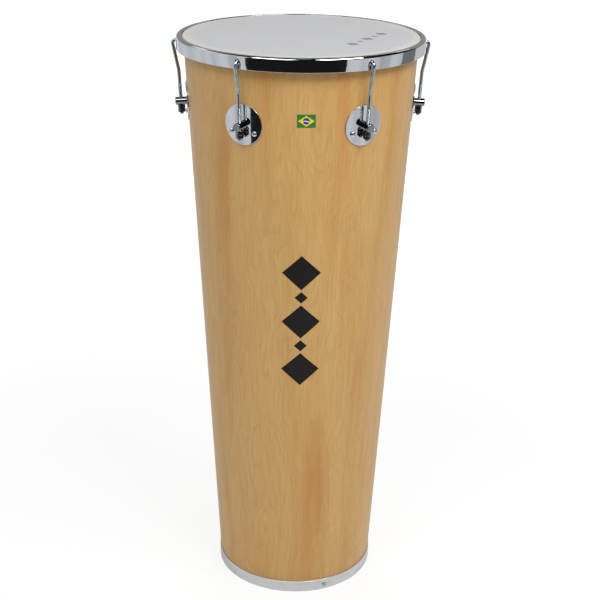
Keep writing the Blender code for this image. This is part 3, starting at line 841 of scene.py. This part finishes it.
class DRUM_OT_hoop(Operator):
    """Makes the counter hoop, pressed from strip, with its folded lip and its hook holes"""

    bl_idname = "drum.hoop"
    bl_label = "Counter hoop"

    def execute(self, context):
        size = sizes()
        inner = HOOP_OUTER - size.hoop_sheet
        corner = (HOOP_OUTER - size.hoop_corner, TOP - size.hoop_corner)
        edge = 0.6 * MM
        outline = [
            *arc((HOOP_OUTER - edge, HOOP_FOOT + edge), edge, -90, 0, steps=4),
            (HOOP_OUTER, (HOOP_FOOT + TOP) / 2),
            *arc(corner, size.hoop_corner, 0, 90, steps=14),
            *arc((size.lip_inner + edge, TOP - edge), edge, 90, 180, steps=4),
            (size.lip_inner, TOP - size.hoop_sheet),
            *arc(corner, size.hoop_corner - size.hoop_sheet, 90, 0, steps=6),
            (inner, HOOP_FOOT),
        ]
        strip = turned("counter_hoop_strip", outline, sharp=50)
        hole_height = HOOK_TOP - 2 * size.rod_radius + size.hook_hole - FIT
        hole = cutter(size.hook_hole, 6 * MM)
        holes = [(hole, station(turn, inner, hole_height) @ TO_FRONT) for turn in LUG_ANGLES]
        mesh = dress(boolean_mesh(strip, holes, "counter_hoop_strip"), "chrome_plated_steel")
        place("counter_hoop_strip", mesh, "head_set", "counter_hoop")
        return {"FINISHED"}


def screw_mesh(name):
    """A pan head with a cross recess, its seat at height 0, and a short stretch of shank."""
    radius, rise = sizes().screw_head, sizes().screw_rise
    rim = 0.35 * rise
    shank, shank_end, tip = 1.6 * MM, -3 * MM, -4 * MM
    crown = [(radius * x, rim + (rise - rim) * z) for x, z in arc((0, 0), 1, 90, 0, steps=9)]
    outline = [*crown, (radius, 0), (shank, 0), (shank, shank_end), (0, tip)]
    head = turned(name, outline, ROUND_STEPS, closed=False)
    arm, width, depth = 1.05 * radius, 0.24 * radius, 1.1 * rise
    cutters = []
    for turn in (20, 110):
        bm = bmesh.new()
        bmesh.ops.create_cube(bm, size=1, matrix=Matrix.Diagonal((arm, width, depth, 1)))
        # The recess narrows towards its floor
        for vert in bm.verts:
            if vert.co.z < 0:
                vert.co.x *= 0.45
                vert.co.y *= 0.6
        spot = Matrix.Translation((0, 0, 0.95 * rise)) @ Matrix.Rotation(math.radians(turn), 4, "Z")
        cutters.append((finish_mesh(bm, "recess"), spot))
    return boolean_mesh(head, cutters, name)


def plate_mesh():
    """A round plate of sheet that follows the wall, its rim rounded over, at angle 0."""
    size = sizes()
    edge = 0.5 * MM
    back, face = FIT, FIT + size.plate_sheet
    profile = [(size.plate_radius * share, face) for share in (0.0, 0.2, 0.4, 0.6, 0.8, 0.93)]
    profile += arc((size.plate_radius - edge, face - edge), edge, 90, 0, steps=6)
    profile += [(size.plate_radius, back), (0.0, back)]
    bm = bmesh.new()
    rings = []
    for reach, proud in profile:
        ring = []
        for i in range(PLATE_STEPS if reach else 1):
            turn = math.tau * i / PLATE_STEPS
            height = lug_height() + reach * math.sin(turn) * math.cos(taper())
            ring.append(bm.verts.new(on_wall(reach * math.cos(turn), height, proud)))
        rings.append(ring)
    skin(bm, rings)
    return finish_mesh(bm, "round_plate", sharp=35)


def post_mesh():
    """A chromed post, rounded at its end and cross-bored for the rod. Its back is at height 0."""
    size = sizes()
    post, out, end_round = size.post_radius, size.post_length, size.post_round
    edge, play = 0.4 * MM, 0.6 * MM
    outline = [
        (0, out),
        *arc((post - end_round, out - end_round), end_round, 90, 0, steps=6),
        (post, edge),
        (post - edge, 0),
        (0, 0),
    ]
    blank = turned("lug_post", outline, ROUND_STEPS, closed=False)
    bore = cutter(size.thread_radius + play, 12 * MM)
    spot = Matrix.Translation((0, 0, size.bore_offset - 2 * FIT - size.plate_sheet)) @ TO_FRONT
    return boolean_mesh(blank, [(bore, spot)], "cross_bored_post")


class DRUM_OT_lugs(Operator):
    """Makes each lug's plate, cross-bored post and two pan-head screws, and finishes its bolt"""

    bl_idname = "drum.lugs"
    bl_label = "Lugs"

    def execute(self, context):
        plate = dress(plate_mesh(), "chrome_plated_steel")
        post = dress(post_mesh(), "chrome_plated_post")
        screw = dress(screw_mesh("pan_screw"), "chrome_plated_steel")
        proud = 2 * FIT + sizes().plate_sheet
        for number, turn in enumerate(LUG_ANGLES, 1):
            whole = Matrix.Rotation(turn, 4, "Z")
            seat = wall_frame(turn, lug_height(), proud)
            place(f"round_plate_{number}", plate, "root", f"lug_plate_{number}", whole)
            place(f"cross_bored_post_{number}", post, "root", f"lug_post_{number}", seat)
            for side in "ab":
                node = f"plate_screw_{number}{side}"
                spot = wall_frame(*node_place(node), proud)
                place(f"pan_screw_{number}{side}", screw, "root", node, spot)
            dress(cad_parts[f"lug_bolt_{number}"].data, "clear_zinc_plated_steel")
        return {"FINISHED"}


def even(radius):
    """Thickness of a plain stretch of rod, the same all round."""
    return lambda turn: radius


def threaded(up, fade):
    """Thickness round a right-handed rolled thread, a distance up the rod, as it fades in from the rod."""
    size = sizes()
    rod, crest, pitch, depth = size.rod_radius, size.thread_radius, size.thread_pitch, size.thread_depth

    def thickness(turn):
        phase = (up / pitch + turn / math.tau) % 1.0
        groove = 1 - abs(2 * phase - 1)
        return rod * (1 - fade) + (crest - depth * groove) * fade

    return thickness


def rod_mesh():
    """A bent hook rod at angle 0: hook, long shank with its knee, and a rolled helical thread."""
    size = sizes()
    rod = size.rod_radius
    level = HOOK_TOP - rod
    into_hoop, end_break, run_in, run_out, per_turn = 3 * MM, 0.7 * MM, 1.2 * MM, 0.8 * MM, 6
    tip_share, foot_share = 0.72, 0.75
    tip = (size.shell_top_radius + into_hoop, level)
    # A bend falls short of its corner, so the corner is set out for it to reach as far as the solid's
    corner = (HOOK_OUTER - rod + 1.25 * MM, level)
    knee = axis_point(size.knee_rise)
    bends = fillet(tip, corner, knee, size.hook_bend, steps=16)
    bends += fillet(corner, knee, axis_point(0), size.knee_bend, steps=10)
    stations = [(*tip, even(tip_share * rod)), (tip[0] + end_break, level, even(rod))]
    stations += [(*spot, even(rod)) for spot in bends]
    stations.append((*axis_point(size.thread_rise + run_in), even(rod)))
    threads = (size.thread_rise + size.rod_drop - run_out) / size.thread_pitch
    for i in range(int(threads * per_turn) + 1):
        up = size.thread_rise - i * size.thread_pitch / per_turn
        stations.append((*axis_point(up), threaded(up, min(1.0, i / (2 * per_turn)))))
    stations.append((*axis_point(-size.rod_drop), even(foot_share * rod)))
    return tube("bent_hook_rod", stations)


def nut_mesh():
    """A hexagon nut, chamfered at both ends, about its middle."""
    size = sizes()
    half, flats = size.nut_depth / 2, size.nut_flats / 2
    edge, play = 0.4 * MM, 0.36 * MM
    bore = size.thread_radius + play
    # The chamfer's cone meets each end just inside the flats, and its levels crowd towards the end
    cone, slope, steps, crowding = 0.97 * flats, 1.75, 5, 1.5
    levels = [half - size.nut_chamfer * (i / steps) ** crowding for i in range(steps + 1)]
    levels += [-level for level in reversed(levels)]
    bm = bmesh.new()
    columns = []
    for i in range(NUT_STEPS):
        turn = math.tau * i / NUT_STEPS
        hexagon = flats / math.cos((turn % (math.tau / 6)) - math.pi / 6)
        outline = [
            (bore + edge, half),
            *((min(hexagon, cone + slope * (half - abs(z))), z) for z in levels),
            (bore + edge, -half),
            (bore, edge - half),
            (bore, half - edge),
        ]
        columns.append(draw(bm, outline, turn))
    skin(bm, [*columns, columns[0]])
    return finish_mesh(bm, "hexagon_nut", sharp=28)


class DRUM_OT_rods(Operator):
    """Makes the bent hook rods and the two hexagon nuts on each"""

    bl_idname = "drum.rods"
    bl_label = "Hook rods and nuts"

    def execute(self, context):
        post, depth = sizes().post_radius, sizes().nut_depth
        rod = dress(rod_mesh(), "clear_zinc_plated_steel")
        nut = dress(nut_mesh(), "dulled_zinc_plated_steel")
        drops = {"tuning_nut": post + FIT + depth / 2, "lock_nut": post + 2 * FIT + depth * 1.5}
        lean = Matrix.Rotation(taper(), 4, "X")
        for number, turn in enumerate(LUG_ANGLES, 1):
            whole = Matrix.Rotation(turn, 4, "Z")
            place(f"bent_rod_{number}", rod, "head_set", f"hook_rod_{number}", whole)
            for kind, drop in drops.items():
                node = f"{kind}_{number}"
                spot = station(turn, *axis_point(-drop)) @ lean
                place(f"hex_{node}", nut, node, node, spot)
        return {"FINISHED"}


class DRUM_OT_prints(Operator):
    """Makes the plain lozenge chain on the shell and the small flag label under the hoop"""

    bl_idname = "drum.prints"
    bl_label = "Print and label"

    def execute(self, context):
        self.lozenge_chain()
        self.label()
        return {"FINISHED"}

    def lozenge_chain(self):
        """Three large lozenges with two small ones between them, in black ink."""
        size = sizes()
        large = (0.256 * size.print_height, size.print_width / 2)
        small = (0.088 * size.print_height, 0.34 * size.print_width / 2)
        gap = (size.print_height - 3 * large[0] - 2 * small[0]) / 4
        bottom = size.print_middle - size.print_height / 2
        for number, (tall, half) in enumerate((large, small, large, small, large), 1):
            rows = band_rows(bottom, bottom + tall, lozenge(half), 0.0, steps=24, columns=16)
            mesh = dress(sheet_patch(f"lozenge_{number}", rows, INK, INK), "black_screen_ink")
            place(f"printed_lozenge_{number}", mesh, "root")
            bottom += tall + gap

    def label(self):
        """The flag label in four layers of printed vinyl: field, lozenge, disc and band."""
        size = sizes()
        wide, tall, centre = size.sticker_width / 2, size.sticker_height / 2, size.sticker_middle
        middle = size.sticker_turn * wall_radius(centre)
        disc = tall / 2

        def disc_edge(share):
            return disc * math.sqrt(max(0.0, 1 - (2 * share - 1) ** 2))

        layers = {
            "label_field": (tall, lambda share: wide, 8, 12),
            "label_lozenge": (0.80 * tall, lozenge(0.86 * wide), 16, 12),
            "label_disc": (disc, disc_edge, 24, 10),
        }
        patches = {
            name: band_rows(centre - half, centre + half, edge, middle, steps, columns)
            for name, (half, edge, steps, columns) in layers.items()
        }
        reach, slope, bow, half_band = 0.97 * disc, -0.18, -0.35 / disc, 0.11 * disc
        ends = LABEL_BAND_STEPS / 2
        across = [reach * (i / ends - 1) for i in range(LABEL_BAND_STEPS + 1)]
        patches["label_band"] = [
            [(middle + s, centre + slope * s + bow * s * s + side * half_band) for s in across]
            for side in (-1, 1)
        ]
        for layer, (name, rows) in enumerate(patches.items()):
            mesh = sheet_patch(name, rows, INK + VINYL * layer, VINYL)
            place(name, dress(mesh, f"printed_vinyl_{name}"), "root")


# Stage


def curved_card(name, card, start, end, outline):
    """A card between two angles, through (radius, height) points, that only reflections see."""
    bm = bmesh.new()
    turns = [math.radians(start + (end - start) * i / ROUND_STEPS) for i in range(ROUND_STEPS + 1)]
    skin(bm, [draw(bm, outline, turn) for turn in turns], closed=False)
    mesh = bpy.data.meshes.new(name)
    bm.to_mesh(mesh)
    bm.free()
    made = add_object(name, dress(mesh, card))
    for ray in ("camera", "diffuse", "shadow", "transmission"):
        setattr(made, f"visible_{ray}", False)


class DRUM_OT_stage(Operator):
    """Sets up the white floor, the lamps, the cards for reflections and the camera"""

    bl_idname = "drum.stage"
    bl_label = "Stage"

    def execute(self, context):
        stage = context.scene.drum_stage
        context.scene.view_settings.view_transform = "Standard"
        self.sky(context, stage)
        self.floor()
        self.cards(stage)
        self.lamp("right_softbox", stage.key_power, 41, 50, distance=2.3, wide=1.25, tall=0.75)
        self.lamp("left_softbox", stage.fill_power, -31, 50, distance=2.3, wide=1.15, tall=0.75)
        rear = self.lamp("rear_softbox", stage.rear_power, 180, 48, distance=2.6, wide=1.6, tall=1.2)
        rear.visible_glossy = False
        self.camera(context, stage)
        return {"FINISHED"}

    def sky(self, context, stage):
        """A white world, dimmer to the drum than to a camera, mirror or glass ray."""
        world = bpy.data.worlds.new("studio")
        context.scene.world = world
        world.use_nodes = True
        add = partial(add_node, world.node_tree)
        path = add("LightPath").outputs
        seen = add("Math", path["Is Camera Ray"], path["Is Glossy Ray"], operation="MAXIMUM")
        seen = add("Math", seen, path["Is Transmission Ray"], operation="MAXIMUM")
        level = add("Math", seen, 1 - stage.sky, stage.sky, operation="MULTIPLY_ADD")
        fill(world.node_tree.nodes["Background"], Color=1.0, Strength=level)

    def floor(self):
        """A wide sheet of white paper just under the drum."""
        mesh = bpy.data.meshes.new("floor")
        far = FLOOR_REACH
        corners = [(-far, -far, -FIT), (far, -far, -FIT), (far, far, -FIT), (-far, far, -FIT)]
        mesh.from_pydata(corners, [], [(0, 1, 2, 3)])
        add_object("floor", dress(mesh, "white_paper_floor"))

    def cards(self, stage):
        """Upright cards round the drum, and canopies over it, all of them for reflections."""
        high = stage.card_height
        # Finish, the two angles it stands between, its foot and its top
        upright = {
            "dark_card": ("dark_card", -50, 37.5, 0.0, high),
            "right_card": ("pale_card", 37.5, 98, 0.0, RIGHT_CARD_TOP),
            "side_card": ("dim_card", 98, 120, 0.0, REAR_CARD_TOP),
            "left_card": ("pale_card", 240, 310, 0.0, high),
            "rear_card": ("pale_card", 120, 240, 0.0, REAR_CARD_TOP),
            "grey_card": ("grey_card", 120, 240, REAR_CARD_TOP, high),
        }
        for name, (card, start, end, low, top) in upright.items():
            curved_card(name, card, start, end, [(stage.card_radius, low), (stage.card_radius, top)])
        centre = (0, CANOPY_HEIGHT)
        curved_card("dark_canopy", "dark_card", -52, 130, arc(centre, CANOPY_RADIUS, 0, 85, steps=17))
        curved_card("rear_canopy", "dark_card", 130, 308, arc(centre, CANOPY_RADIUS, 40, 85, steps=9))

    def lamp(self, name, watts, azimuth, elevation, distance, wide, tall):
        """An area lamp that looks at the drum from an angle round it and above it, in degrees."""
        light = bpy.data.lights.new(name, "AREA")
        light.shape = "RECTANGLE"
        light.size = wide
        light.size_y = tall
        light.energy = watts
        rise = math.radians(elevation)
        back = around(math.cos(rise), math.radians(azimuth), math.sin(rise))
        stand = Matrix.Translation(Vector((0, 0, LAMP_AIM)) + back * distance)
        return add_object(name, light, stand @ back.to_track_quat("Z", "Y").to_matrix().to_4x4())

    def camera(self, context, stage):
        """The camera, which looks down at the drum from the front."""
        data = bpy.data.cameras.new("camera")
        data.lens = stage.lens
        stand = station(stage.camera_angle, stage.camera_distance, stage.camera_height)
        yaw = Matrix.Rotation(-stage.camera_yaw, 4, "Z")
        pitch = Matrix.Rotation(-stage.camera_pitch, 4, "X")
        roll = Matrix.Rotation(stage.camera_roll, 4, "Z")
        context.scene.camera = add_object("camera", data, stand @ yaw @ TO_FRONT @ pitch @ roll)


class DRUM_PT_panel(Panel):
    """Lists the drum's operators, sizes and colours, and its stage"""

    bl_idname = "DRUM_PT_panel"
    bl_label = "Timbal drum"
    bl_space_type = "VIEW_3D"
    bl_region_type = "UI"
    bl_category = "Drum"

    def draw(self, context):
        for operator in OPERATORS:
            self.layout.operator(operator.bl_idname)
        for name in GROUPS:
            group = getattr(context.scene, name)
            column = self.layout.column(align=True)
            for setting in group.__annotations__:
                column.prop(group, setting)


OPERATORS = (
    DRUM_OT_stage,
    DRUM_OT_shell,
    DRUM_OT_foot_strip,
    DRUM_OT_head,
    DRUM_OT_hoop,
    DRUM_OT_lugs,
    DRUM_OT_rods,
    DRUM_OT_prints,
)
GROUPS = {"drum_sizes": DrumSizes, "drum_colours": DrumColours, "drum_stage": DrumStage}


def register():
    for cls in (*GROUPS.values(), *OPERATORS, DRUM_PT_panel):
        bpy.utils.register_class(cls)
    for name, group in GROUPS.items():
        setattr(bpy.types.Scene, name, PointerProperty(type=group))


def unregister():
    for name in GROUPS:
        delattr(bpy.types.Scene, name)
    for cls in (DRUM_PT_panel, *reversed(OPERATORS), *reversed(GROUPS.values())):
        bpy.utils.unregister_class(cls)


def main():
    register()
    for operator in OPERATORS:
        group, action = operator.bl_idname.split(".")
        result = getattr(getattr(bpy.ops, group), action)()
        if result != {"FINISHED"}:
            raise RuntimeError(f"{operator.bl_label} did not finish")
    bpy.context.view_layer.update()


if __name__ == "__main__":
    main()
